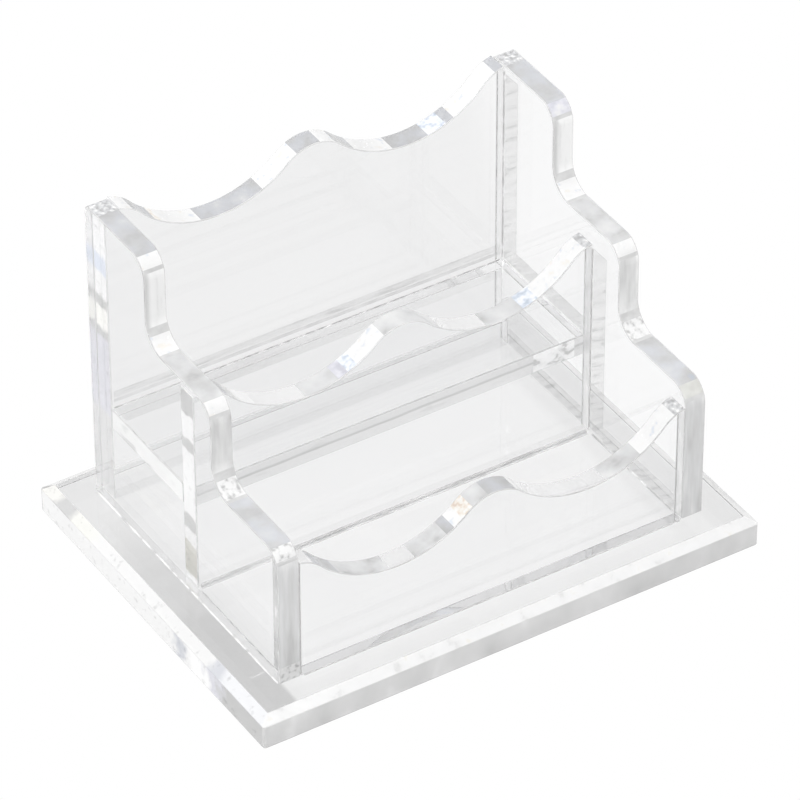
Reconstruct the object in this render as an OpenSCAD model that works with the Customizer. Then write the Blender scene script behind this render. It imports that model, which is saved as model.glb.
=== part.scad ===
// Two-tier desk holder for business cards, welded up from clear sheet.
// Frame: millimetres, +Z up, X along the long side, -Y towards the user.
// Origin: middle of the underside of the base plate.

/* [Base plate] */
// Length of the base plate along X
base_w = 120; // [116:0.5:150]
// Depth of the base plate along Y
base_d = 90; // [84:0.5:120]
// Thickness of the base plate
base_t = 7; // [4:0.1:10]
// Width of the bevel round the upper edge, seen from above
bevel_w = 2.3; // [0.5:0.1:4]
// Height of the bevel round the upper edge
bevel_h = 1.4; // [0.5:0.1:3]

/* [Sheet] */
// Thickness of the side, cross and shelf sheets
sheet_t = 5; // [3:0.1:6]

/* [Side panels] */
// Distance over the outer faces of the two side panels
box_w = 102.5; // [101:0.5:112]
// Depth of the side panels, front edge to back edge
box_d = 73.5; // [70:0.5:80]
// Height of the side panels at the back, above the base plate
side_h = 74; // [70:0.5:90]
// Height of each step in the side panels
tier_rise = 20.2; // [16:0.1:22]
// Depth of each of the two front steps
tier_run = 25; // [22:0.5:27]
// Radius of the rounded outer corner of each step
shoulder_r = 5; // [2:0.5:7]
// Radius of the hollow at the foot of each riser
hollow_r = 6; // [2:0.5:8]
// Radius of the top corner at the back
back_r = 1.5; // [0.5:0.1:4]

/* [Cross panels] */
// Height of the middle panel at its ends, above the base plate
middle_h = 49.5; // [45:0.5:53]
// Height of the front panel at its ends, above the base plate
front_h = 29.5; // [26:0.5:32]
// Position of the middle panel's front face along Y
middle_y = -2; // [-6:0.5:4]

/* [Waved top edge] */
// Depth of the two valleys below the panel's ends
valley_drop = 11; // [8:0.5:12]
// Drop of the middle crest below the panel's ends
crest_drop = 2; // [0.5:0.5:4]
// Radius of the two valleys
valley_r = 24.5; // [22:0.5:26]
// Radius of the crests
crest_r = 9.4; // [8:0.2:10]

/* [Shelf] */
// Gap between the base plate and the underside of the shelf
shelf_gap = 19; // [12:0.5:24]

/* [Hidden] */
$fn = 96;

clear_col = [0.90, 0.92, 0.93, 0.45];
edge_col = [0.86, 0.89, 0.91, 0.55];

// half the clear width between the side panels
half_in = box_w / 2 - sheet_t;
// front and back edges of the side panels
y_front = -box_d / 2;
y_back = box_d / 2;
// front edge of each step, front to back
step_y = [y_front, y_front + tier_run, y_front + 2 * tier_run];
// height of each step, front to back
step_h = [side_h - 2 * tier_rise, side_h - tier_rise, side_h];

// Waved edge: three crests and two valleys, each arc running into the next.
// Each valley bites a hair into the crests beside it, so the arcs cross cleanly.
bite = 0.02;
reach = crest_r + valley_r;
valley_x = sqrt(reach * reach - pow(reach - (valley_drop - crest_drop), 2));
end_x = valley_x + sqrt(reach * reach - pow(reach - valley_drop, 2));
// share of the way from a crest's centre to a valley's, to just inside the crest
inside = (crest_r - bite / 2) / reach;

// where a valley arc runs into the middle crest, and into an end crest
function mid_meet(h) =
    [valley_x * inside,
     h - crest_drop - crest_r + (reach - valley_drop + crest_drop) * inside];
function end_meet(h) =
    [end_x - (end_x - valley_x) * inside,
     h - crest_r + (reach - valley_drop) * inside];

module wave_outline(h) {
    m = mid_meet(h);
    e = end_meet(h);
    far = half_in + 5;
    intersection() {
        translate([-half_in, 0]) square([2 * half_in, h + 5]);
        difference() {
            union() {
                polygon([[-far, -5], [far, -5], [far, e[1]], e, m,
                         [-m[0], m[1]], [-e[0], e[1]], [-far, e[1]]]);
                translate([0, h - crest_drop - crest_r]) circle(r = crest_r);
                for (s = [-1, 1])
                    translate([s * end_x, h - crest_r]) circle(r = crest_r);
            }
            for (s = [-1, 1])
                translate([s * valley_x, h - valley_drop + valley_r])
                    circle(r = valley_r + bite);
        }
    }
}

// A sheet across the box, its front face at y, standing on the base plate
module cross_sheet(h, y) {
    translate([0, y + sheet_t, base_t]) rotate([90, 0, 0])
        linear_extrude(height = sheet_t) wave_outline(h);
}

// Stepped outline of a side panel: Y to the right, height above the base up
module stepped_outline() {
    union() {
        difference() {
            union()
                for (i = [0:2])
                    translate([step_y[i], 0])
                        square([y_back - step_y[i], step_h[i]]);
            // rounded shoulders
            for (i = [0:2])
                translate([step_y[i], step_h[i] - shoulder_r])
                    difference() {
                        translate([-1, 0]) square([shoulder_r + 1, shoulder_r + 1]);
                        translate([shoulder_r, 0]) circle(r = shoulder_r);
                    }
            // rounded top corner at the back
            translate([y_back - back_r, side_h - back_r])
                difference() {
                    square([back_r + 1, back_r + 1]);
                    circle(r = back_r);
                }
        }
        // hollows at the foot of the two upper risers
        for (i = [0:1])
            translate([step_y[i + 1] - hollow_r, step_h[i]])
                difference() {
                    translate([0, -1]) square([hollow_r + 1, hollow_r + 1]);
                    translate([0, hollow_r]) circle(r = hollow_r);
                }
    }
}

// A side panel, its outer or inner face at x
module side_sheet(x) {
    translate([x, 0, base_t]) rotate([90, 0, 90])
        linear_extrude(height = sheet_t) stepped_outline();
}

// Outline of the base plate seen along one edge, for a plate of width w
module bevelled_outline(w) {
    polygon([[-w / 2, 0], [w / 2, 0], [w / 2, base_t - bevel_h],
             [w / 2 - bevel_w, base_t], [-w / 2 + bevel_w, base_t],
             [-w / 2, base_t - bevel_h]]);
}

module base_plate() {
    color(edge_col)
        intersection() {
            translate([0, base_d / 2, 0]) rotate([90, 0, 0])
                linear_extrude(height = base_d) bevelled_outline(base_w);
            translate([-base_w / 2, 0, 0]) rotate([90, 0, 90])
                linear_extrude(height = base_w) bevelled_outline(base_d);
        }
}

module left_side_panel() {
    color(clear_col) side_sheet(-box_w / 2);
}

module right_side_panel() {
    color(clear_col) side_sheet(box_w / 2 - sheet_t);
}

module back_panel() {
    color(clear_col) cross_sheet(side_h, y_back - sheet_t);
}

module middle_panel() {
    color(clear_col) cross_sheet(middle_h, middle_y);
}

module front_panel() {
    color(clear_col) cross_sheet(front_h, y_front);
}

// Floor of the upper pocket, welded between back, middle and side panels
module upper_shelf() {
    color(edge_col)
        translate([-half_in, middle_y + sheet_t, base_t + shelf_gap])
            cube([2 * half_in, y_back - middle_y - 2 * sheet_t, sheet_t]);
}

base_plate();
left_side_panel();
right_side_panel();
back_panel();
middle_panel();
front_panel();
upper_shelf();
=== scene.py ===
import math

import bpy
import numpy as np
from mathutils import Matrix, Vector


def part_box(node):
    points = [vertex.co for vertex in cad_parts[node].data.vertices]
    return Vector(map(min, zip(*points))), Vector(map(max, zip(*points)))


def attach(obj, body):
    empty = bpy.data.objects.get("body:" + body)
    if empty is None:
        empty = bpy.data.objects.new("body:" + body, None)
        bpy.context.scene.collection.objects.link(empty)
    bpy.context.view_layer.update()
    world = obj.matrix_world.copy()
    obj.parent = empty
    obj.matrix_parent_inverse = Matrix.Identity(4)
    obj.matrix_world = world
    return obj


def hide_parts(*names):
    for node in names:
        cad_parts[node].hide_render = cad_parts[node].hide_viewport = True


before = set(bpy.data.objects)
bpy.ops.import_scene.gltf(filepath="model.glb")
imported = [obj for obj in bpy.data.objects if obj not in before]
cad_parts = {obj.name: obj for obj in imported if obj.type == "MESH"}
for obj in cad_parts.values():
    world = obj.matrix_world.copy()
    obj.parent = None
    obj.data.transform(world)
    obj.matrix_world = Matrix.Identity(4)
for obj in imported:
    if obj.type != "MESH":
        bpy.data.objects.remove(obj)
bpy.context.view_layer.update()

MM = 0.001
scene = bpy.context.scene


# ---------------------------------------------------------------- sizes
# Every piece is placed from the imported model's own boxes, in millimetres.
def node_box(node):
    lo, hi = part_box(node)
    return [v / MM for v in lo], [v / MM for v in hi]


BASE_LO, BASE_HI = node_box("base_plate")
LEFT_LO, LEFT_HI = node_box("left_side_panel")
RIGHT_LO, RIGHT_HI = node_box("right_side_panel")
BACK_LO, BACK_HI = node_box("back_panel")
MID_LO, MID_HI = node_box("middle_panel")
FRONT_LO, FRONT_HI = node_box("front_panel")
SHELF_LO, SHELF_HI = node_box("upper_shelf")

BEVEL_W, BEVEL_H = 2.3, 1.4
TIER_RISE, TIER_RUN, SHOULDER_R, HOLLOW_R, BACK_R = 20.2, 25.0, 5.0, 6.0, 1.5
VALLEY_DROP, CREST_DROP, VALLEY_R, CREST_R = 11.0, 2.0, 24.5, 9.4
MIDDLE_H, FRONT_H = 49.5, 29.5
TOP = BASE_HI[2]
HALF_IN = BACK_HI[0]

ARRIS = 0.2      # rounding of every sheet edge
CORNER = 0.26    # rounding of the outlines' sharp corners
GAP = 0.05       # film of cement between two sheets


# ---------------------------------------------------------------- outlines
def arc(cx, cy, r, a0, a1, side, step):
    """Points (x, y, nx, ny) along an arc; side is +1 for a bulge, -1 for a hollow."""
    n = max(2, int(math.ceil(abs(math.radians(a1 - a0)) * r / step)))
    out = []
    for i in range(n + 1):
        a = math.radians(a0 + (a1 - a0) * i / n)
        c, s = math.cos(a), math.sin(a)
        out.append((cx + r * c, cy + r * s, side * c, side * s))
    return out


def corner(p, d_in, d_out, r, segs=4):
    """A rounded corner at p between unit directions d_in and d_out, going anticlockwise round the outline."""
    turn = math.atan2(d_in[0] * d_out[1] - d_in[1] * d_out[0],
                      d_in[0] * d_out[0] + d_in[1] * d_out[1])
    t = r * math.tan(abs(turn) / 2)
    side = 1 if turn > 0 else -1
    sx, sy = p[0] - d_in[0] * t, p[1] - d_in[1] * t
    nx, ny = d_in[1] * side, -d_in[0] * side     # from the centre to the start
    cx, cy = sx - nx * r, sy - ny * r
    a0 = math.atan2(ny, nx)
    out = []
    n = max(segs, int(math.ceil(abs(turn) * r / 0.45)))
    for i in range(n + 1):
        a = a0 + turn * i / n
        c, s = math.cos(a), math.sin(a)
        out.append((cx + r * c, cy + r * s, side * c, side * s))
    return out


def rounded_polygon(corners):
    """An anticlockwise outline from (x, y, radius) corners."""
    out = []
    n = len(corners)
    for i in range(n):
        a, b, c = corners[i - 1], corners[i], corners[(i + 1) % n]
        d0 = np.array([b[0] - a[0], b[1] - a[1]], float)
        d1 = np.array([c[0] - b[0], c[1] - b[1]], float)
        d0 /= np.linalg.norm(d0)
        d1 /= np.linalg.norm(d1)
        out += corner(b[:2], d0, d1, b[2])
    return out


def divided(outline, step):
    """Adds points along the straight stretches of an outline, so that its finish can change along them."""
    out = []
    for i, a in enumerate(outline):
        b = outline[(i + 1) % len(outline)]
        out.append(a)
        k = int(math.hypot(b[0] - a[0], b[1] - a[1]) / step)
        for j in range(1, k):
            out.append((a[0] + (b[0] - a[0]) * j / k, a[1] + (b[1] - a[1]) * j / k, a[2], a[3]))
    return out


def stepped_outline(y0, y1, z0, z1):
    """A side panel: y to the right, z up."""
    tops = [z1 - 2 * TIER_RISE, z1 - TIER_RISE, z1]
    ys = [y0, y0 + TIER_RUN, y0 + 2 * TIER_RUN]
    pts = [(y0, z0, CORNER), (y1, z0, CORNER), (y1, tops[2], BACK_R),
           (ys[2], tops[2], SHOULDER_R), (ys[2], tops[1], HOLLOW_R),
           (ys[1], tops[1], SHOULDER_R), (ys[1], tops[0], HOLLOW_R),
           (ys[0], tops[0], SHOULDER_R)]
    return rounded_polygon(pts)


def waved_outline(half, z0, h):
    """A cross sheet with a waved top edge: x to the right, z up. h is the height of its end crests."""
    reach = CREST_R + VALLEY_R
    vx = math.sqrt(reach ** 2 - (reach - (VALLEY_DROP - CREST_DROP)) ** 2)
    ex = vx + math.sqrt(reach ** 2 - (reach - VALLEY_DROP) ** 2)
    vz = h - VALLEY_DROP + VALLEY_R
    a_mid = math.degrees(math.atan2(vz - (h - CREST_DROP - CREST_R), vx))
    a_end = math.degrees(math.atan2(vz - (h - CREST_R), ex - vx))
    step = 0.35
    # end crest on the right, from the side panel's face to the valley
    start = math.degrees(math.acos((half - ex) / CREST_R))
    right = arc(ex, h - CREST_R, CREST_R, start, 180 - a_end, 1, step)
    z_end = right[0][1]
    tan = (-right[0][3], right[0][2])
    right = right[1:]
    valley_r = arc(vx, vz, VALLEY_R, -a_end, -180 + a_mid, -1, step)
    crest = arc(0, h - CREST_DROP - CREST_R, CREST_R, a_mid, 180 - a_mid, 1, step)
    valley_l = [(-x, y, -nx, ny) for x, y, nx, ny in reversed(valley_r)]
    left = [(-x, y, -nx, ny) for x, y, nx, ny in reversed(right)]
    pts = corner((-half, z0), (0, -1), (1, 0), CORNER)
    pts += corner((half, z0), (1, 0), (0, 1), CORNER)
    pts += corner((half, z_end), (0, 1), tan, CORNER)
    pts += right + valley_r[1:] + crest[1:] + valley_l[1:] + left[1:]
    pts += corner((-half, z_end), (tan[0], -tan[1]), (0, -1), CORNER)
    return pts


# ---------------------------------------------------------------- meshes
def make_object(name, verts, faces, normals, mats, face_mat):
    me = bpy.data.meshes.new(name)
    me.from_pydata([tuple(c * MM for c in v) for v in verts], [], faces)
    # every face looks outwards
    vol = 0.0
    for p in me.polygons:
        c = me.vertices[p.vertices[0]].co
        vol += p.area * p.normal.dot(c)
    if vol < 0:
        me.flip_normals()
    for m in mats:
        me.materials.append(m)
    me.polygons.foreach_set("material_index", face_mat)
    me.polygons.foreach_set("use_smooth", [True] * len(faces))
    if normals is not None:
        me.normals_split_custom_set_from_vertices([tuple(n) for n in normals])
    me.validate()
    me.update()
    ob = bpy.data.objects.new(name, me)
    scene.collection.objects.link(ob)
    return ob


def sheet(name, outline, w0, w1, place, mats, finish, foot=None, arris=ARRIS, segs=3):
    """A sheet cut to an outline, from depth w0 to w1, with rounded edges. place turns (u, v, w) into (x, y, z).
    finish(u, v, nu, nv) names the finish of the stretch of edge there; foot is the one that the arris takes on too."""
    n = len(outline)
    o = np.array(outline, float)
    rings = []          # (inset, depth, share of the outline's normal, of the axis)
    for i in range(segs + 1):
        t = math.radians(90 * i / segs)
        rings.append((arris * (1 - math.sin(t)), w0 + arris * (1 - math.cos(t)), math.sin(t), -math.cos(t)))
    for i in range(segs + 1):
        t = math.radians(90 - 90 * i / segs)
        rings.append((arris * (1 - math.sin(t)), w1 - arris * (1 - math.cos(t)), math.sin(t), math.cos(t)))
    verts, normals = [], []
    for inset, w, sn, sa in rings:
        for x, y, nx, ny in o:
            verts.append(place(x - nx * inset, y - ny * inset, w))
            normals.append(place(nx * sn, ny * sn, sa))
    faces, face_mat = [], []
    order = list(mats)
    for k in range(len(rings) - 1):
        for i in range(n):
            j = (i + 1) % n
            faces.append((k * n + i, k * n + j, (k + 1) * n + j, (k + 1) * n + i))
            key = finish(*((o[i] + o[j]) / 2))
            face_mat.append(order.index(key if k == segs or key == foot else "arris"))
    faces.append(tuple(range(n - 1, -1, -1)))
    face_mat.append(order.index("face"))
    last = (len(rings) - 1) * n
    faces.append(tuple(range(last, last + n)))
    face_mat.append(order.index("face"))
    return make_object(name, verts, faces, normals, [mats[k] for k in order], face_mat)


def along_x(u, v, w):
    return (w, u, v)


def along_y(u, v, w):
    return (u, w, v)


def along_z(u, v, w):
    return (u, v, w)


def bevelled_plate(name, lo, hi, bw, bh, mats):
    """The base plate: rounded plan corners, a bevel round the top, and softened edges all round."""
    hx, hy = (hi[0] - lo[0]) / 2, (hi[1] - lo[1]) / 2
    cx, cy = (hi[0] + lo[0]) / 2, (hi[1] + lo[1]) / 2
    r0, soft = 0.7, 0.25
    slope = math.atan2(bw, bh)              # the bevel's normal leans this far up
    rings = []                              # (inset, z, outwards, up)
    for i in range(4):
        t = math.radians(90 * i / 3)
        rings.append((soft * (1 - math.sin(t)), lo[2] + soft * (1 - math.cos(t)), math.sin(t), -math.cos(t)))
    zs = hi[2] - bh
    # side to bevel, then bevel to top: short arcs tangent to both
    t1 = soft * math.tan(slope / 2)
    for i in range(4):
        t = slope * i / 3
        rings.append((soft * (1 - math.cos(t)), zs - t1 + soft * math.sin(t), math.cos(t), math.sin(t)))
    rest = math.pi / 2 - slope
    t2 = soft * math.tan(rest / 2)
    for i in range(4):
        t = slope + rest * i / 3
        rings.append((bw + t2 - soft * math.cos(t), hi[2] - soft + soft * math.sin(t), math.cos(t), math.sin(t)))
    verts, normals = [], []
    per = 6
    n = 4 * per
    for inset, z, sn, sa in rings:
        rc = max(r0 - inset, 0.04)
        for q, (sx, sy) in enumerate(((1, 1), (-1, 1), (-1, -1), (1, -1))):
            for i in range(per):
                a = math.radians(90 * q + 90 * i / (per - 1))
                c, s = math.cos(a), math.sin(a)
                verts.append((cx + sx * (hx - inset - rc) + rc * c, cy + sy * (hy - inset - rc) + rc * s, z))
                normals.append((c * sn, s * sn, sa))
    faces, face_mat = [], []
    order = list(mats)
    for k in range(len(rings) - 1):
        for i in range(n):
            j = (i + 1) % n
            faces.append((k * n + i, k * n + j, (k + 1) * n + j, (k + 1) * n + i))
            flat = i % per == per - 1           # sides in turn: back, left, front, right
            if (k < 3 and 1 <= i // per <= 2) or (k < 8 and not flat and i // per == 1):
                key = "line"                    # painted shade: dark along the foot, and up the left back corner
            elif k < 3:
                key = "face"
            elif k == 3:                        # the upright sides, each toned apart as painted light or shade
                key = ("base_far", "base_left", "base_side", "base_far")[i // per] if flat else "base_side"
            elif k <= 7:
                # the bevel: a painted highlight in front, patchy painted reflections on the left, painted shade at the
                # back and right
                key = ("bevel_far", "bevel_left", "bevel", "bevel_far")[i // per] if flat else "bevel"
            else:
                key = "arris"
            face_mat.append(order.index(key))
    faces.append(tuple(range(n - 1, -1, -1)))
    face_mat.append(order.index("underside"))
    last = (len(rings) - 1) * n
    faces.append(tuple(range(last, last + n)))
    face_mat.append(order.index("face"))
    return make_object(name, verts, faces, normals, [mats[k] for k in order], face_mat)


# ---------------------------------------------------------------- materials
def new_material(name):
    m = bpy.data.materials.new(name)
    m.use_nodes = True
    nt = m.node_tree
    nt.nodes.clear()
    out = nt.nodes.new("ShaderNodeOutputMaterial")
    return m, nt, out


def node(nt, kind, **values):
    n = nt.nodes.new(kind)
    for k, v in values.items():
        if hasattr(n, k):
            setattr(n, k, v)
        else:
            n.inputs[k].default_value = v
    return n


def noise_ramp(nt, vec, scale, stops, detail=2.0, distortion=0.0):
    """A noise pattern run through a colour ramp; stops are (position, (r, g, b))."""
    n = node(nt, "ShaderNodeTexNoise")
    n.inputs["Scale"].default_value = scale
    n.inputs["Detail"].default_value = detail
    n.inputs["Distortion"].default_value = distortion
    nt.links.new(vec, n.inputs["Vector"])
    r = node(nt, "ShaderNodeValToRGB")
    els = r.color_ramp.elements
    while len(els) < len(stops):
        els.new(0.5)
    for el, (pos, col) in zip(els, stops):
        el.position = pos
        el.color = (*col, 1)
    nt.links.new(n.outputs[0], r.inputs[0])
    return n, r


def acrylic(name, seed, stops, scale, rough, bump, clear=1.0, stretch=(1, 1, 1), turn=0.0, index=1.49):
    """Clear cast sheet: the tint, the gloss and a faint waviness all vary a little over the surface.
    clear is the share of light that passes through; the rest is scattered by the cut surface.
    The pattern is turned about X by turn degrees, then stretched.
    index is lower where cement lets the light on into the next sheet."""
    m, nt, out = new_material(name)
    L = nt.links.new
    tex = node(nt, "ShaderNodeTexCoord")
    mp = node(nt, "ShaderNodeMapping")
    mp.inputs["Location"].default_value = (seed * 0.37, seed * 0.11, seed * 0.23)
    mp.inputs["Scale"].default_value = stretch
    rot = node(nt, "ShaderNodeMapping")
    rot.inputs["Rotation"].default_value = (math.radians(turn), 0.0, 0.0)
    L(tex.outputs["Object"], rot.inputs["Vector"])
    L(rot.outputs[0], mp.inputs["Vector"])
    n1, ramp = noise_ramp(nt, mp.outputs[0], scale, stops, 3.0)
    n2 = node(nt, "ShaderNodeTexNoise")
    n2.inputs["Scale"].default_value = scale * 2.3
    n2.inputs["Detail"].default_value = 2.0
    L(mp.outputs[0], n2.inputs["Vector"])
    rr = node(nt, "ShaderNodeMapRange")
    rr.inputs["From Min"].default_value = 0.35
    rr.inputs["From Max"].default_value = 0.75
    rr.inputs["To Min"].default_value = rough[0]
    rr.inputs["To Max"].default_value = rough[1]
    L(n2.outputs[0], rr.inputs[0])
    bp = node(nt, "ShaderNodeBump")
    bp.inputs["Strength"].default_value = bump
    bp.inputs["Distance"].default_value = 0.0002
    L(n2.outputs[0], bp.inputs["Height"])
    p = node(nt, "ShaderNodeBsdfPrincipled")
    p.inputs["Transmission Weight"].default_value = clear
    p.inputs["IOR"].default_value = index
    L(ramp.outputs[0], p.inputs["Base Color"])
    L(rr.outputs[0], p.inputs["Roughness"])
    L(bp.outputs[0], p.inputs["Normal"])
    L(p.outputs[0], out.inputs["Surface"])
    return m


def grey(v, b=0.0):
    return (v, v + b * 0.25, v + b)


def dim(stops, k):
    return [(pos, tuple(k * c for c in col)) for pos, col in stops]


FACE = acrylic("acrylic_face", 1, [(0.3, grey(0.978, 0.003)), (0.7, grey(0.988, 0.003))], 35.0, (0.0, 0.005), 0.003)
# the rounded arrises: half clear, half a grey painted shade standing for the dark surroundings they reflect
ARRIS_MAT = acrylic("acrylic_arris", 2, [(0.3, grey(0.52)), (0.7, grey(0.72))], 240.0, (0.08, 0.25), 0.03, 0.5)
WET = acrylic("acrylic_foot_wet", 36, [(0.3, grey(0.97)), (0.7, grey(0.99))], 90.0, (0.0, 0.0), 0.0, 1.0, index=1.02)
DAMP = acrylic("acrylic_foot_damp", 37, [(0.3, grey(0.96)), (0.7, grey(0.98))], 90.0, (0.0, 0.0), 0.0, 1.0, index=1.085)
# painted shade: grey tones for the cut edges, with darker and lighter copies for the wave tops and the tier tops, and a
# paler grey for the middle tier and parts of the waves
SHADE_GREYS = [(0.22, (0.37, 0.41, 0.49)), (0.34, grey(0.42)), (0.46, grey(0.47, 0.01)), (0.58, grey(0.50, 0.04)),
        (0.70, grey(0.55, 0.02)), (0.82, grey(0.70))]
EDGE_GREY = acrylic("acrylic_edge_painted_shade", 3, dim(SHADE_GREYS, 0.96), 170.0, (0.06, 0.2), 0.04, 0.35)
EDGE_WAVE = acrylic("acrylic_edge_wave", 35, dim(SHADE_GREYS, 0.86), 170.0, (0.06, 0.2), 0.04, 0.35)
EDGE_TIER = acrylic("acrylic_edge_tier", 42, dim(SHADE_GREYS, 1.04), 170.0, (0.06, 0.2), 0.04, 0.35)
EDGE_PALE = acrylic("acrylic_edge_pale", 16,
                    [(0.28, grey(0.39)), (0.38, grey(0.485)), (0.50, grey(0.56, 0.01)), (0.70, grey(0.64))],
                    190.0, (0.06, 0.2), 0.04, 0.35)
EDGE_DARK = acrylic("acrylic_edge_shade", 4, [(0.3, grey(0.48)), (0.7, grey(0.59))], 420.0, (0.06, 0.2), 0.04, 0.3)
# painted highlight: the bright bands on the steep curves of the edges
EDGE_HIGHLIGHT = acrylic("acrylic_edge_painted_highlight", 5,
                     [(0.31, (0.54, 0.57, 0.62)), (0.38, grey(0.65)), (0.5, grey(0.672)), (0.62, grey(0.66)),
                      (0.71, (0.645, 0.625, 0.59))],
                     560.0, (0.1, 0.3), 0.04, 0.12)
EDGE_CLEAR = acrylic("acrylic_edge_polished", 6, [(0.3, grey(0.92)), (0.7, grey(0.985))], 190.0, (0.0, 0.05), 0.015, 0.93)
EDGE_SPECK = acrylic("acrylic_edge_speckled", 17, [(0.38, grey(0.36)), (0.5, grey(0.50, 0.02)), (0.6, grey(0.60)), (0.68, grey(0.84))],
                     1100.0, (0.1, 0.3), 0.06, 0.2)
# painted glints: lilac and olive tints on the edges, standing for coloured reflections
EDGE_LILAC = acrylic("acrylic_edge_painted_glint_lilac", 18,
                     [(0.32, (0.44, 0.44, 0.49)), (0.44, (0.53, 0.53, 0.58)), (0.56, (0.61, 0.61, 0.65)), (0.66, grey(0.67))],
                     420.0, (0.08, 0.25), 0.04, 0.2)
EDGE_OLIVE = acrylic("acrylic_edge_painted_glint_olive", 19,
                     [(0.3, (0.46, 0.46, 0.435)), (0.5, (0.56, 0.56, 0.535)), (0.7, (0.66, 0.66, 0.635))],
                     260.0, (0.08, 0.25), 0.04, 0.3)
EDGE_MOTTLED = acrylic("acrylic_edge_mottled", 28, [(0.34, grey(0.38)), (0.44, grey(0.58)), (0.54, grey(0.675))],
                       900.0, (0.1, 0.3), 0.05, 0.15)
# painted shade: the middle risers, darker than the upper ones
RISER_DARK = acrylic("acrylic_riser_painted_shade", 21,
                     [(0.28, grey(0.48)), (0.42, grey(0.60)), (0.55, grey(0.68)), (0.70, grey(0.80))],
                     260.0, (0.05, 0.2), 0.04, 0.4, (1.7, 1.7, 0.3))
# painted shade: the grey of the front edges, with streaks along them; the front_shade copy is darker
SHADED_STREAKS = [(0.30, grey(0.52)), (0.42, grey(0.60)), (0.54, grey(0.65, 0.01)), (0.65, grey(0.72)), (0.73, grey(0.96))]
EDGE_FRONT = acrylic("acrylic_edge_front", 12, SHADED_STREAKS, 340.0, (0.05, 0.2), 0.04, 0.3, (1.7, 1.7, 0.2))
FRONT_SHADE = acrylic("acrylic_edge_front_shade", 43, dim(SHADED_STREAKS, 0.9), 340.0, (0.05, 0.2), 0.04, 0.3, (1.7, 1.7, 0.2))
# painted highlight: bright ends, with a few grey patches
END_WHITE = acrylic("acrylic_end_painted_highlight", 7,
                    [(0.30, grey(0.60)), (0.39, grey(0.83)), (0.60, (0.88, 0.88, 0.87)), (0.70, grey(0.70))],
                    330.0, (0.05, 0.2), 0.03, 0.15, (1.0, 0.3, 1.0))
# a brighter, speckled patch on the shelf's front edge
SPECKLED_PATCH = acrylic("acrylic_edge_bright_speckle", 30, [(0.38, grey(0.55)), (0.45, grey(0.88)), (0.60, grey(0.97))],
               620.0, (0.1, 0.3), 0.05, 0.15, (0.6, 1.0, 1.0))
END_SPECK = acrylic("acrylic_end_speckled", 22,
                    [(0.36, grey(0.62)), (0.46, grey(0.74)), (0.58, grey(0.82)), (0.64, grey(0.97))],
                    420.0, (0.02, 0.12), 0.03, 0.68, (1.0, 1.0, 0.4))
END_DARK = acrylic("acrylic_end_shade", 34,
                   [(0.34, grey(0.44)), (0.50, grey(0.53)), (0.64, grey(0.59)), (0.70, grey(0.95))],
                   380.0, (0.05, 0.2), 0.04, 0.3, (1.0, 1.0, 0.35))
UNDER = acrylic("acrylic_underside", 8, [(0.3, grey(0.96)), (0.7, grey(0.98))], 90.0, (0.0, 0.02), 0.002)
# the base's sides and bevel: one finish in lit and shaded copies, painted shade on the front face, the far sides and
# along the foot, painted highlight on the front bevel
BASE_SIDE = acrylic("acrylic_base_side", 9,
                    [(0.28, grey(0.54)), (0.42, grey(0.62)), (0.58, grey(0.675)), (0.70, grey(0.78))],
                    110.0, (0.05, 0.2), 0.02, 0.25, (1, 1, 0.5))
BASE_FAR = acrylic("acrylic_base_far_side", 32, [(0.36, grey(0.60)), (0.50, grey(0.70)), (0.64, grey(0.82))], 330.0, (0.02, 0.08), 0.02, 0.78,
                   (0.5, 0.5, 1.0))
BASE_LINE = acrylic("acrylic_base_foot_painted_shade", 33, [(0.35, grey(0.26)), (0.65, grey(0.44))], 300.0, (0.1, 0.3), 0.03, 0.1)
BEVEL = acrylic("acrylic_bevel", 11, [(0.30, grey(0.57)), (0.40, grey(0.68)), (0.64, grey(0.71)), (0.72, (0.68, 0.665, 0.63))], 300.0, (0.08, 0.25), 0.02, 0.15)
BEVEL_FAR = acrylic("acrylic_bevel_far", 46, [(0.30, grey(0.54)), (0.42, grey(0.62)), (0.64, grey(0.67))], 300.0, (0.08, 0.25), 0.02, 0.25)
# the beads are real cement fillets; the bright one carries a painted highlight, and its darker copy painted shade for
# the right-hand runs and the run along the back of the shelf
WELD = acrylic("cement_bead", 13, [(0.36, grey(0.50)), (0.44, grey(0.66)), (0.62, grey(0.77))], 420.0, (0.1, 0.3), 0.05, 0.1)
WELD_DARK = acrylic("cement_bead_shade", 38, [(0.40, grey(0.47)), (0.56, grey(0.60)), (0.66, grey(0.82))], 420.0, (0.1, 0.3), 0.05, 0.15)
WELD_GREY = acrylic("cement_fillet", 39, [(0.35, grey(0.68)), (0.50, grey(0.80)), (0.65, grey(0.90))], 330.0, (0.03, 0.15), 0.03, 0.65, (0.4, 1.0, 1.0))
WELD_CLEAR = acrylic("cement_bead_clear", 23, [(0.3, grey(0.80)), (0.7, grey(0.95))], 260.0, (0.02, 0.12), 0.03, 0.8)
RUN_OUT = [(0.32, grey(0.74)), (0.41, grey(0.86)), (0.55, grey(0.90)), (0.75, grey(0.93))]
FILM = acrylic("cement_film", 24, RUN_OUT, 330.0, (0.0, 0.06), 0.01, 1.0, (0.25, 0.22, 2.6), 39.5)
FILM_SHADE = acrylic("cement_film_shade", 44, dim(RUN_OUT, 0.955), 330.0, (0.0, 0.06), 0.01, 1.0, (0.25, 0.22, 2.6), 39.5)
FILM_LINE = acrylic("cement_film_edge", 40, [(0.35, grey(0.78)), (0.65, grey(0.88))], 420.0, (0.0, 0.06), 0.02, 1.0, (0.5, 1.0, 1.0))
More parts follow.
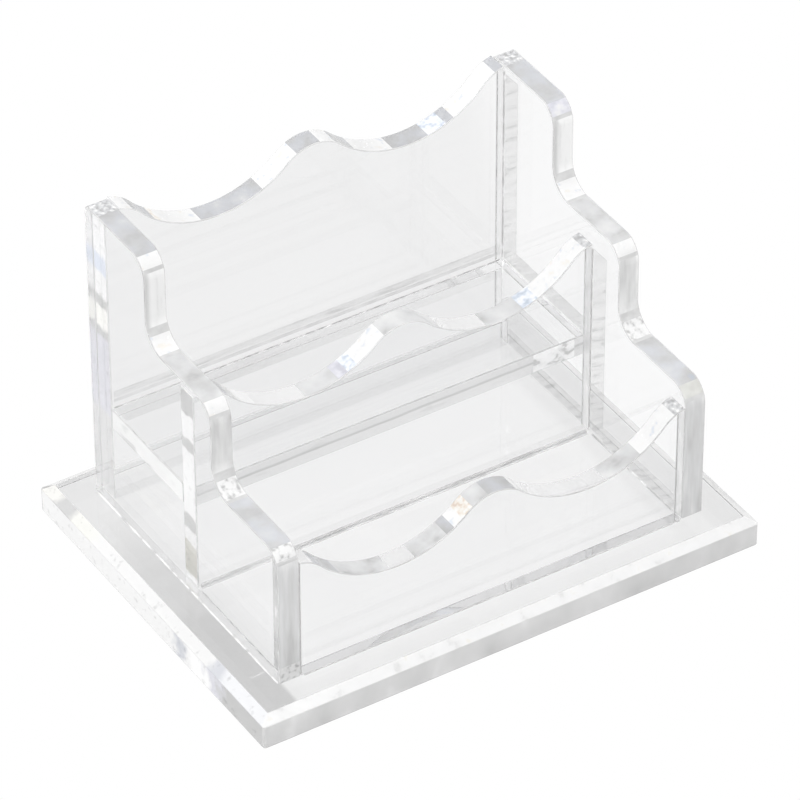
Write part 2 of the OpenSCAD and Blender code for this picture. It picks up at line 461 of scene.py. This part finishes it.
# painted glints: warm and cool tints on short stretches of the edges, standing for coloured reflections
GLINT_WARM = acrylic("acrylic_edge_painted_glint_warm", 14,
                     [(0.36, (0.58, 0.48, 0.41)), (0.46, (0.68, 0.62, 0.55)), (0.56, (0.72, 0.70, 0.66)), (0.66, grey(0.74))],
                     900.0, (0.05, 0.2), 0.03, 0.2)
GLINT_COOL = acrylic("acrylic_edge_painted_glint_cool", 15,
                     [(0.36, (0.40, 0.45, 0.52)), (0.46, (0.54, 0.58, 0.65)), (0.54, (0.66, 0.69, 0.74)), (0.64, grey(0.74))],
                     700.0, (0.05, 0.2), 0.03, 0.2)


def banded(name, seed, axis, stops, wobble, scale, fleck, rough, bump, clear, stretch=(1, 1, 1)):
    """A finish that changes along one axis. stops are (from mm, to mm, colour); fleck is how dark its flecks are."""
    m, nt, out = new_material(name)
    L = nt.links.new
    tex = node(nt, "ShaderNodeTexCoord")
    mp = node(nt, "ShaderNodeMapping")
    mp.inputs["Location"].default_value = (seed * 0.37, seed * 0.11, seed * 0.23)
    mp.inputs["Scale"].default_value = stretch
    L(tex.outputs["Object"], mp.inputs["Vector"])
    sep = node(nt, "ShaderNodeSeparateXYZ")
    L(tex.outputs["Object"], sep.inputs[0])
    n1 = node(nt, "ShaderNodeTexNoise")
    n1.inputs["Scale"].default_value = scale
    n1.inputs["Detail"].default_value = 3.0
    L(mp.outputs[0], n1.inputs["Vector"])
    shift = node(nt, "ShaderNodeMapRange")
    for key, val in (("To Min", -wobble * MM), ("To Max", wobble * MM)):
        shift.inputs[key].default_value = val
    L(n1.outputs[0], shift.inputs[0])
    add = node(nt, "ShaderNodeMath")
    L(sep.outputs[axis], add.inputs[0])
    L(shift.outputs[0], add.inputs[1])
    lo, hi = stops[0][0], stops[-1][1]
    along = node(nt, "ShaderNodeMapRange")
    along.inputs["From Min"].default_value = lo * MM
    along.inputs["From Max"].default_value = hi * MM
    L(add.outputs[0], along.inputs[0])
    ramp = node(nt, "ShaderNodeValToRGB")
    els = ramp.color_ramp.elements
    marks = []
    for a, b, col in stops:
        marks += [((a - lo) / (hi - lo), col), ((b - lo) / (hi - lo), col)]
    while len(els) < len(marks):
        els.new(0.5)
    for el, (pos, col) in zip(els, marks):
        el.position = pos
        el.color = (*col, 1)
    L(along.outputs[0], ramp.inputs[0])
    n2, flecks = noise_ramp(nt, mp.outputs[0], scale * 2.4, [(0.26, grey(1.0 - fleck)), (0.40, grey(1.0))], 2.0)
    mix = node(nt, "ShaderNodeMix")
    mix.data_type = "RGBA"
    mix.blend_type = "MULTIPLY"
    mix.inputs[0].default_value = 1.0
    L(ramp.outputs[0], mix.inputs[6])
    L(flecks.outputs[0], mix.inputs[7])
    rr = node(nt, "ShaderNodeMapRange")
    for key, val in (("From Min", 0.35), ("From Max", 0.75), ("To Min", rough[0]), ("To Max", rough[1])):
        rr.inputs[key].default_value = val
    L(n1.outputs[0], rr.inputs[0])
    bp = node(nt, "ShaderNodeBump")
    bp.inputs["Strength"].default_value = bump
    bp.inputs["Distance"].default_value = 0.0002
    L(n2.outputs[0], bp.inputs["Height"])
    p = node(nt, "ShaderNodeBsdfPrincipled")
    p.inputs["Transmission Weight"].default_value = clear
    p.inputs["IOR"].default_value = 1.49
    L(mix.outputs[2], p.inputs["Base Color"])
    L(rr.outputs[0], p.inputs["Roughness"])
    L(bp.outputs[0], p.inputs["Normal"])
    L(p.outputs[0], out.inputs["Surface"])
    return m


# a small set of tones for the patchy edges: painted highlight, plain, painted shade and tinted painted glints
BRIGHT, PLAIN, SHADE = grey(0.84), grey(0.78), grey(0.46)
COOL, LILAC, WARM, OLIVE = (0.62, 0.67, 0.77), (0.61, 0.61, 0.66), (0.87, 0.87, 0.83), (0.52, 0.51, 0.46)
# ends that are cemented to a side panel: painted reflections in bands up the height, bright, with patches of painted
# shade and tinted painted glints
END_BACK = banded("acrylic_end_back", 25, 2, (
    (7.0, 28.0, grey(0.64)), (29.0, 47.6, LILAC), (48.4, 50.0, SHADE), (50.9, 55.0, WARM), (55.9, 58.4, SHADE),
    (59.3, 64.0, BRIGHT), (65.0, 68.4, COOL), (69.4, 81.0, BRIGHT)), 1.8, 300.0, 0.25, (0.05, 0.2), 0.02, 0.1)
END_MID = banded("acrylic_end_middle", 26, 2, (
    (7.0, 8.5, BRIGHT), (9.1, 16.6, OLIVE), (17.2, 20.4, PLAIN), (20.9, 23.6, SHADE), (24.2, 41.0, BRIGHT),
    (41.6, 43.8, SHADE), (44.4, 50.0, BRIGHT), (50.5, 57.0, SHADE)), 1.4, 320.0, 0.25, (0.05, 0.2), 0.02, 0.1)
# the left side of the base plate: patchy, with painted reflections in bands along its length
BASE_LEFT = banded("acrylic_base_left", 10, 1, (
    (-45.0, -29.0, SHADE), (-26.4, -24.2, LILAC), (-21.6, -17.0, grey(0.86)), (-14.8, -14.0, PLAIN), (-12.2, -10.6, (0.52, 0.535, 0.575)),
    (-8.4, 45.0, PLAIN)), 4.6, 260.0, 0.22, (0.06, 0.25), 0.02, 0.15)
BEVEL_LEFT = banded("acrylic_bevel_left", 27, 1, (
    (-45.0, -29.0, grey(0.64, 0.02)), (-26.0, -23.8, (0.50, 0.51, 0.54)), (-21.6, 22.6, grey(0.64)), (25.4, 31.6, (0.64, 0.64, 0.615)),
    (34.0, 37.4, SHADE), (39.6, 45.0, (0.645, 0.64, 0.62))), 3.4, 300.0, 0.22, (0.06, 0.25), 0.02, 0.15)
# the front edge of the shelf, behind the middle panel: sawn, with a seam along it
SHELF_FRONT = banded("acrylic_shelf_front", 41, 2, (
    (26.0, 28.3, grey(0.84)), (28.6, 28.9, grey(0.58)), (29.2, 31.0, grey(0.78))), 0.3, 260.0, 0.10, (0.05, 0.2), 0.02, 0.3, (0.3, 1.0, 1.0))
# the upper risers of the side panels: smooth, with a darker strip along the left
RISER = banded("acrylic_riser", 20, 0, (
    (-51.3, -50.7, grey(0.54)), (-49.9, 45.5, grey(0.81)), (46.2, 46.9, grey(0.54)), (47.8, 51.3, grey(0.81))),
    0.35, 200.0, 0.10, (0.05, 0.2), 0.02, 0.35, (1.3, 1.3, 0.3))

# a film beside the back of the shelf, tinted as a painted shadow: darker on the left, paler towards the right
SHELF_SHADOW_FILM = banded("cement_film_painted_shadow", 45, 0, (
    (-46.0, -24.0, grey(0.88)), (2.0, 8.0, grey(0.94)), (34.0, 46.0, grey(0.985))), 3.0, 180.0, 0.05, (0.0, 0.05), 0.01, 1.0, (0.4, 1.0, 1.0))

SHEET_MATS = {"face": FACE, "arris": ARRIS_MAT, "grey": EDGE_GREY, "pale": EDGE_PALE, "dark": EDGE_DARK,
              "white": EDGE_HIGHLIGHT, "clear": EDGE_CLEAR, "speck": EDGE_SPECK, "lilac": EDGE_LILAC, "olive": EDGE_OLIVE,
              "mottled": EDGE_MOTTLED, "riser": RISER, "riser_dark": RISER_DARK, "front": EDGE_FRONT, "wave": EDGE_WAVE, "tier": EDGE_TIER, "front_shade": FRONT_SHADE,
              "end": END_WHITE, "end_speck": END_SPECK, "end_dark": END_DARK, "void": SPECKLED_PATCH, "shelf_front": SHELF_FRONT, "wet": WET, "damp": DAMP,
              "end_back": END_BACK, "end_mid": END_MID, "warm": GLINT_WARM, "cool": GLINT_COOL}
BASE_MATS = {"face": FACE, "arris": ARRIS_MAT, "base_side": BASE_SIDE, "base_left": BASE_LEFT, "bevel": BEVEL,
             "bevel_left": BEVEL_LEFT, "bevel_far": BEVEL_FAR, "base_far": BASE_FAR, "line": BASE_LINE, "underside": UNDER}


def used(mats, *keys):
    """The finishes that a piece needs, in the order of the table."""
    return {k: v for k, v in mats.items() if k in keys}


# ---------------------------------------------------------------- finish of the cut edges
def lean(nu, nv):
    """How far an edge's normal leans from straight up, in degrees, positive towards -u."""
    return math.degrees(math.atan2(-nu, nv))


def stepped_finish(shoulders, hollows, front, heel, foot):
    """Edges of a side panel: painted shade on the tops, smooth risers in painted shade, and painted highlights in bands
    round the curves.
    shoulders and hollows name the finish of each band, front to back; heel is the foot of the front edge."""
    def finish(u, v, nu, nv):
        a = lean(nu, nv)
        if nv < -0.5:
            return foot                         # the welded foot
        if a < -45:
            return "clear"                      # the back edge
        tops = (LEFT_HI[2] - 2 * TIER_RISE, LEFT_HI[2] - TIER_RISE, LEFT_HI[2])
        for i, t in enumerate(tops):
            y = LEFT_LO[1] + i * TIER_RUN
            # painted highlights and painted shade on the shoulders and in the hollows, chosen by how far the edge leans
            if y - 0.1 <= u <= y + SHOULDER_R + 0.1 and v > t - SHOULDER_R - 0.1 and 4 < a < 88:
                if a < 26:
                    return ("tier", "pale", "grey")[i]
                return shoulders[i] if a < 62 else ("dark" if a < 69 else (front, "riser_dark", "riser")[i])
            far = y + TIER_RUN
            if i < 2 and far - HOLLOW_R - 0.1 < u < far + 0.1 and v < t + HOLLOW_R + 0.1 and 2 < a < 88:
                return hollows[i] if 10 < a < 50 else ("dark" if a <= 10 or a < 70 else ("riser", "riser_dark")[i == 0])
        if a > 80:
            if v < TOP + 3.2:
                return heel
            # the front edge and the risers: painted shade, darker on the middle riser
            return front if v < tops[0] else ("riser_dark" if v < tops[1] else "riser")
        if u > LEFT_HI[1] - 5.4:
            return "speck"                      # over the joint with the back sheet
        # painted shade on the flat tops: a different grey for each tier
        return "grey" if v > tops[1] + 1 else ("pale" if v > tops[0] + 1 else "tier")
    return finish


def waved_finish(bright, glints, left_end, right_end, foot):
    """Edges of a cross sheet: the waved top has a painted highlight where it is steep, and painted shade in grey
    elsewhere.
    glints are (from x, to x, finish): listed stretches of painted highlight, painted shade and painted coloured glint."""
    def finish(u, v, nu, nv):
        a = lean(nu, nv)
        if nv < -0.5:
            return foot
        if abs(nu) > 0.93:
            return left_end if nu < 0 else right_end
        for x0, x1, kind in glints:
            if x0 < u < x1:
                return kind
        # painted highlight: the slopes that would mirror the lights take the bright finish
        if 26 < a < 60:
            return "white"
        if -33 < a < (-9 if bright == "white" else 3):
            return bright
        # painted shade on the rest of the waved top
        return "wave"
    return finish


def shelf_finish(u, v, nu, nv):
    if nu < -0.9:
        return "end"
    if nv < -0.9:
        return "void" if 33.5 < u < 44.5 else "shelf_front"     # a brighter, speckled stretch of the front edge
    return "face"


# ---------------------------------------------------------------- the sheets
pieces = {}
pieces["base_plate"] = bevelled_plate("base_sheet", BASE_LO, BASE_HI, BEVEL_W, BEVEL_H, BASE_MATS)
side = divided(stepped_outline(LEFT_LO[1], LEFT_HI[1], TOP + GAP, LEFT_HI[2]), 1.8)
side_keys = ("face", "arris", "white", "dark", "grey", "pale", "tier", "riser", "riser_dark", "speck", "clear", "mottled")
pieces["left_side_panel"] = sheet("left_side_sheet", side, LEFT_LO[0], LEFT_HI[0], along_x,
                                  used(SHEET_MATS, *side_keys, "front", "damp"), stepped_finish(("mottled", "white", "white"), ("mottled", "white"), "front", "mottled", "damp"), "damp")
pieces["right_side_panel"] = sheet("right_side_sheet", side, RIGHT_LO[0], RIGHT_HI[0], along_x,
                                   used(SHEET_MATS, *side_keys, "front_shade", "olive", "lilac", "wet"),
                                   stepped_finish(("olive", "white", "lilac"), ("mottled", "white"), "front_shade", "front_shade", "wet"), "wet")
half = HALF_IN - GAP
wave_keys = ("face", "arris", "white", "wave", "pale", "clear", "speck", "lilac", "warm", "cool", "end_speck")
# the waved tops carry painted highlights, painted shade and painted coloured glints; the listed stretches set them
# along x
pieces["back_panel"] = sheet("back_sheet", waved_outline(half, TOP + GAP, TOP + 74.0),
                             BACK_LO[1], BACK_HI[1], along_y, used(SHEET_MATS, *wave_keys, "end_back", "wet"),
                             waved_finish("white", ((-37.6, -36.2, "warm"), (27.5, 32.0, "cool")), "end_back", "clear", "wet"), "wet")
pieces["middle_panel"] = sheet("middle_sheet", waved_outline(half, TOP + GAP, TOP + MIDDLE_H),
                               MID_LO[1], MID_HI[1], along_y, used(SHEET_MATS, *wave_keys, "end_mid", "wet"),
                               waved_finish("clear", ((-41.0, -23.0, "clear"), (-23.0, -15.4, "pale"), (-15.4, -13.0, "lilac"), (-13.0, -11.0, "cool"),
                                                       (-11.0, -4.4, "white"), (-4.4, 9.2, "pale"), (9.2, 20.5, "clear"), (20.5, 29.5, "pale"),
                                                       (29.5, 33.0, "cool"), (33.0, 44.2, "white"), (44.2, 47.0, "speck")),
                                            "end_mid", "end_speck", "wet"), "wet")
pieces["front_panel"] = sheet("front_sheet", waved_outline(half, TOP + GAP, TOP + FRONT_H),
                              FRONT_LO[1], FRONT_HI[1], along_y, used(SHEET_MATS, *wave_keys, "end_dark"),
                              waved_finish("clear", ((-37.0, -25.0, "pale"), (-25.0, -19.0, "clear"), (-19.0, -11.4, "pale"), (-11.4, -9.6, "wave"),
                                                      (-9.6, -7.6, "white"), (-7.6, -5.4, "warm"), (-5.4, -1.4, "pale"), (-1.4, 5.0, "wave"),
                                                      (5.0, 27.0, "clear"), (27.0, 35.4, "pale"), (35.4, 43.8, "white"), (43.8, 47.0, "speck")),
                                           "end_dark", "end_speck", "face"), "face")
shelf_plan = divided(rounded_polygon([(-half, SHELF_LO[1] + GAP, CORNER), (half, SHELF_LO[1] + GAP, CORNER),
                                      (half, SHELF_HI[1] - GAP, CORNER), (-half, SHELF_HI[1] - GAP, CORNER)]), 2.0)
pieces["upper_shelf"] = sheet("shelf_sheet", shelf_plan, SHELF_LO[2], SHELF_HI[2], along_z,
                              used(SHEET_MATS, "face", "arris", "end", "void", "shelf_front"), shelf_finish, "face")


# ---------------------------------------------------------------- beads of cement along the joints
def beads(name, runs, mats, steps=3):
    """Hollow fillets of cement; each run is (start, end, one way out of the corner, the other way, size, finish)."""
    verts, faces, face_mat = [], [], []
    for p0, p1, a, b, r, kind in runs:
        p0, p1, a, b = (Vector(v) for v in (p0, p1, a, b))
        off = (a + b) * 0.02
        ring = [Vector((0, 0, 0)), a * r]
        for i in range(1, steps):
            t = math.radians(90 * i / steps)
            ring.append(a * (r - r * math.sin(t)) + b * (r - r * math.cos(t)))
        ring.append(b * r)
        base = len(verts)
        n = len(ring)
        d = (p1 - p0).normalized()
        flip = a.cross(b).dot(d) > 0
        for end in (p0, p1):
            verts += [tuple(end + off + q) for q in ring]
        for i in range(n):
            j = (i + 1) % n
            f = (base + i, base + j, base + n + j, base + n + i)
            faces.append(f if flip else f[::-1])
        cap = tuple(range(base, base + n))
        far = tuple(range(base + n, base + 2 * n))
        faces.append(cap[::-1] if flip else cap)
        faces.append(far if flip else far[::-1])
        face_mat += [kind] * (n + 2)
    ob = make_object(name, verts, faces, None, mats, face_mat)
    ob.data.polygons.foreach_set("use_smooth", [False] * len(faces))
    return ob


X_IN, X_OUT = LEFT_HI[0], LEFT_LO[0]
Y_MID0, Y_MID1 = MID_LO[1], MID_HI[1]
Y_BACK, Y_FRONT, Y_POCKET = BACK_LO[1], FRONT_LO[1], FRONT_HI[1]
Z_SHELF = SHELF_HI[2]
UPW, FOR = (0, 0, 1), (0, -1, 0)
white_runs, clear_runs = [], []              # finishes: 0 painted highlight, 1 painted shade; 0 clear, 1 grey
for sx, panel in ((-1, LEFT_LO), (1, LEFT_LO)):
    xi, xo = sx * abs(X_IN), sx * abs(X_OUT)
    out, inn = (sx, 0, 0), (-sx, 0, 0)
    far = int(sx > 0)
    white_runs.append(((xo, panel[1] + 0.5, TOP), (xo, -panel[1] - 0.5, TOP), out, UPW, 0.28, 0))
    white_runs.append(((xi, Y_POCKET + 0.2, TOP), (xi, Y_MID0 - 1.2, TOP), inn, UPW, 0.28, far))
    white_runs.append(((xi, Y_MID1 + 0.2, Z_SHELF), (xi, Y_BACK - 0.2, Z_SHELF), inn, UPW, 0.28, 0))
    white_runs.append(((xi, Y_BACK, Z_SHELF + 0.6), (xi, Y_BACK, BACK_HI[2] - 1.2), inn, FOR, 0.28, far))
    clear_runs.append(((xi, Y_MID0, TOP + 1.2), (xi, Y_MID0, MID_HI[2] - 1.2), inn, FOR, 0.30, 0))
w = abs(X_IN) - 0.7
white_runs.append(((-w, Y_BACK, Z_SHELF), (w, Y_BACK, Z_SHELF), FOR, UPW, 0.24, 1))
clear_runs.append(((-w, Y_MID0, TOP), (w, Y_MID0, TOP), FOR, UPW, 0.85, 1))
clear_runs.append(((-w, Y_FRONT, TOP), (w, Y_FRONT, TOP), FOR, UPW, 0.30, 0))


def films(name, patches, mats):
    """Thin films of cement that ran out of a joint; each patch is (lowest corner, highest corner, finish)."""
    verts, faces, face_mat = [], [], []
    for lo, hi, kind in patches:
        b = len(verts)
        verts += [(x, y, z) for z in (lo[2], hi[2]) for y in (lo[1], hi[1]) for x in (lo[0], hi[0])]
        faces += [tuple(b + i for i in f) for f in
                  ((0, 2, 3, 1), (4, 5, 7, 6), (0, 1, 5, 4), (2, 6, 7, 3), (0, 4, 6, 2), (1, 3, 7, 5))]
        face_mat += [kind] * 6
    ob = make_object(name, verts, faces, None, mats, face_mat)
    ob.data.polygons.foreach_set("use_smooth", [False] * len(faces))
    return ob


def on_right(y0, y1, z0, z1, kind=0):
    return ((abs(X_IN) - 0.032, y0, z0), (abs(X_IN) - 0.02, y1, z1), kind)


def on_back(z0, z1, kind):
    return ((-w, Y_BACK - 0.032, z0), (w, Y_BACK - 0.02, z1), kind)


patches = (on_right(Y_BACK - 5.2, Y_BACK - 0.5, Z_SHELF + 0.5, BACK_HI[2] - 1.6),
           on_right(Y_MID1 + 0.5, Y_BACK - 5.2, Z_SHELF + 0.5, Z_SHELF + 4.6, 2),
           on_right(Y_MID0 - 5.2, Y_MID0 - 0.5, TOP + 1.2, MID_HI[2] - 1.0),
           on_right(Y_POCKET + 0.5, Y_MID0 - 5.2, TOP + 0.5, TOP + 4.6),
           on_right(Y_MID1 + 0.5, Y_BACK - 0.5, TOP + 0.5, TOP + 4.6),
           on_back(Z_SHELF + 1.5, Z_SHELF + 2.4, 1), on_back(Z_SHELF + 2.6, Z_SHELF + 4.3, 0),
           # the film on the shelf's top, tinted as a painted shadow
           ((-w, Y_BACK - 5.0, Z_SHELF + 0.02), (w, Y_BACK - 0.4, Z_SHELF + 0.032), 3))
for weld, slot in ((beads("weld_beads", white_runs, [WELD, WELD_DARK]), "base_plate"),
                   (beads("weld_beads_clear", clear_runs, [WELD_CLEAR, WELD_GREY]), "base_plate"),
                   (films("cement_film", patches, [FILM, FILM_LINE, FILM_SHADE, SHELF_SHADOW_FILM]), "right_side_panel")):
    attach(weld, "root")

for node_name, ob in pieces.items():
    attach(ob, "root")
    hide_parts(node_name)

# ---------------------------------------------------------------- stage
def smooth(nt, value, lo, hi, to_lo, to_hi):
    rng = node(nt, "ShaderNodeMapRange")
    rng.inputs["From Min"].default_value = lo
    rng.inputs["From Max"].default_value = hi
    rng.inputs["To Min"].default_value = to_lo
    rng.inputs["To Max"].default_value = to_hi
    rng.interpolation_type = "SMOOTHSTEP"
    nt.links.new(value, rng.inputs[0])
    return rng.outputs[0]


def maths(nt, op, a, b):
    n = node(nt, "ShaderNodeMath")
    n.operation = op
    for i, v in enumerate((a, b)):
        if isinstance(v, (int, float)):
            n.inputs[i].default_value = v
        else:
            nt.links.new(v, n.inputs[i])
    return n.outputs[0]


def glow_material(name, shaded):
    """A floor that glows like a light table; the shaded one carries painted light and shade: brighter under the object
    and to its right, with painted shadow strips along the base's left and right margins, deepest at the front left.
    """
    m, nt, out = new_material(name)
    em = node(nt, "ShaderNodeEmission")
    em.inputs["Color"].default_value = (1, 1, 1, 1)
    if shaded:
        tex = node(nt, "ShaderNodeTexCoord")
        sep = node(nt, "ShaderNodeSeparateXYZ")
        nt.links.new(tex.outputs["Object"], sep.inputs[0])
        x, y = sep.outputs[0], sep.outputs[1]
        # painted light: a brighter stretch of floor to the right of the base
        lit = smooth(nt, x, 0.0595, 0.0615, 0.0, 1.0)
        lit = maths(nt, "MULTIPLY", lit, smooth(nt, maths(nt, "SUBTRACT", x, maths(nt, "MULTIPLY", y, 0.5)),
                                                0.030, 0.046, 0.0, 1.0))
        level = maths(nt, "ADD", maths(nt, "MULTIPLY", lit, 0.10), 0.885)
        # painted light: the floor is brighter under the object
        painted_light_under = maths(nt, "MULTIPLY", smooth(nt, maths(nt, "ABSOLUTE", x, 0.0), 0.044, 0.047, 1.0, 0.0),
                       smooth(nt, maths(nt, "ABSOLUTE", y, 0.0), 0.030, 0.040, 1.0, 0.0))
        level = maths(nt, "ADD", level, maths(nt, "MULTIPLY", painted_light_under, 0.05))
        # painted shadow along the base's right margin
        painted_shadow_right = maths(nt, "MULTIPLY", smooth(nt, x, 0.0525, 0.0540, 0.0, 1.0), smooth(nt, x, 0.0595, 0.0612, 1.0, 0.0))
        plate = smooth(nt, maths(nt, "ABSOLUTE", y, 0.0), 0.0450, 0.0465, 1.0, 0.0)
        level = maths(nt, "SUBTRACT", level, maths(nt, "MULTIPLY", maths(nt, "MULTIPLY", painted_shadow_right, plate), 0.04))
        # painted shadow along the base's left margin, darker towards the front
        painted_shadow_left = maths(nt, "MULTIPLY", smooth(nt, x, -0.0492, -0.0478, 1.0, 0.0), smooth(nt, x, -0.060, -0.056, 0.0, 1.0))
        depth = maths(nt, "ADD", smooth(nt, y, 0.008, 0.034, 0.20, 0.03), smooth(nt, y, -0.008, 0.0, 0.08, 0.0))
        painted_shadow_left = maths(nt, "MULTIPLY", maths(nt, "MULTIPLY", painted_shadow_left, plate), depth)
        nt.links.new(maths(nt, "MULTIPLY", level, maths(nt, "SUBTRACT", 1.0, painted_shadow_left)), em.inputs["Strength"])
    nt.links.new(em.outputs[0], out.inputs["Surface"])
    m.cycles.emission_sampling = "NONE"
    return m


def stage_plane(name, z, mat):
    me = bpy.data.meshes.new(name)
    S = 4.0
    me.from_pydata([(-S, -S, z), (S, -S, z), (S, S, z), (-S, S, z)], [], [(0, 1, 2, 3)])
    me.materials.append(mat)
    ob = bpy.data.objects.new(name, me)
    scene.collection.objects.link(ob)
    return ob


# the white sweep that the camera looks at, and the paler light that it throws into the object, with its painted shadows
# and painted light
floor = stage_plane("floor", -0.0006, glow_material("sweep_white", False))
table = stage_plane("floor_light", -0.0004, glow_material("sweep_light", True))
floor.visible_transmission = False
floor.visible_glossy = False
floor.visible_diffuse = False
table.visible_camera = False

world = bpy.data.worlds.new("studio")
scene.world = world
world.use_nodes = True
wn = world.node_tree
wn.nodes.clear()
wo = wn.nodes.new("ShaderNodeOutputWorld")
bg = wn.nodes.new("ShaderNodeBackground")
bg.inputs["Color"].default_value = (1, 1, 1, 1)
# a little brighter in front than behind
wt = wn.nodes.new("ShaderNodeTexCoord")
ws = wn.nodes.new("ShaderNodeSeparateXYZ")
wn.links.new(wt.outputs["Generated"], ws.inputs[0])
wr = wn.nodes.new("ShaderNodeMapRange")
for key, val in (("From Min", -1.0), ("From Max", 1.0), ("To Min", 1.05), ("To Max", 0.61)):
    wr.inputs[key].default_value = val
wn.links.new(ws.outputs[1], wr.inputs[0])
wn.links.new(wr.outputs[0], bg.inputs["Strength"])
wn.links.new(bg.outputs[0], wo.inputs[0])


def softbox(name, pos, aim, size, glow, through=False):
    """A soft light that fills the cut edges but doesn't burn out the polished faces.
    through lets it reach the edges behind a sheet too."""
    d = bpy.data.lights.new(name, "AREA")
    d.shape = "RECTANGLE"
    d.size, d.size_y = size
    d.energy = glow * math.pi * size[0] * size[1]
    o = bpy.data.objects.new(name, d)
    o.location = pos
    o.rotation_euler = (Vector(aim) - Vector(pos)).to_track_quat("-Z", "Y").to_euler()
    scene.collection.objects.link(o)
    o.visible_camera = False
    o.visible_glossy = False
    o.visible_transmission = through
    return o


softbox("overhead", (0.0, 0.0, 1.5), (0, 0, 0.03), (1.0, 1.0), 0.6)
softbox("side_fill", (-1.05, -0.15, 1.25), (0, 0, 0.03), (1.4, 1.2), 4.2, True)
softbox("right_fill", (1.45, -0.20, 0.70), (0, 0, 0.03), (1.1, 1.0), 2.2)
softbox("back_fill", (0.0, 1.5, 0.5), (0, 0, 0.03), (1.0, 0.7), 3.8)

# ---------------------------------------------------------------- camera
AZ, EL, ROLL = -32.1425, 38.287, -0.1647
FOCAL, DIST, CX, CY, PX, PY = 6189.7247, 1290.8909, 398.2645, 526.3851, 400.0, 400.0
a, e, r = (math.radians(v) for v in (AZ, EL, ROLL))
back = Vector((math.sin(a) * math.cos(e), -math.cos(a) * math.cos(e), math.sin(e)))
fwd = -back
right = fwd.cross(Vector((0, 0, 1))).normalized()
up = right.cross(fwd)
r2 = math.cos(r) * right + math.sin(r) * up
u2 = -math.sin(r) * right + math.cos(r) * up
tx, ty = (CX - PX) / FOCAL * DIST, (CY - PY) / FOCAL * DIST
loc = -(tx * r2 - ty * u2 + DIST * fwd) * MM
cam_data = bpy.data.cameras.new("camera")
cam_data.sensor_fit = "HORIZONTAL"
cam_data.sensor_width = 36.0
cam_data.lens = FOCAL * 36.0 / 800.0
cam_data.clip_start = 0.05
cam_data.clip_end = 20.0
cam = bpy.data.objects.new("camera", cam_data)
rot = Matrix((r2, u2, back)).transposed()
cam.matrix_world = Matrix.Translation(loc) @ rot.to_4x4()
scene.collection.objects.link(cam)
scene.camera = cam

# ---------------------------------------------------------------- picture
cy = scene.cycles
cy.max_bounces = 32
cy.transmission_bounces = 32
cy.glossy_bounces = 24
cy.diffuse_bounces = 4
cy.transparent_max_bounces = 32
cy.caustics_reflective = True
cy.caustics_refractive = True
cy.blur_glossy = 0.0
cy.sample_clamp_indirect = 4.0
cy.use_denoising = True
scene.view_settings.view_transform = "Standard"
scene.view_settings.look = "None"
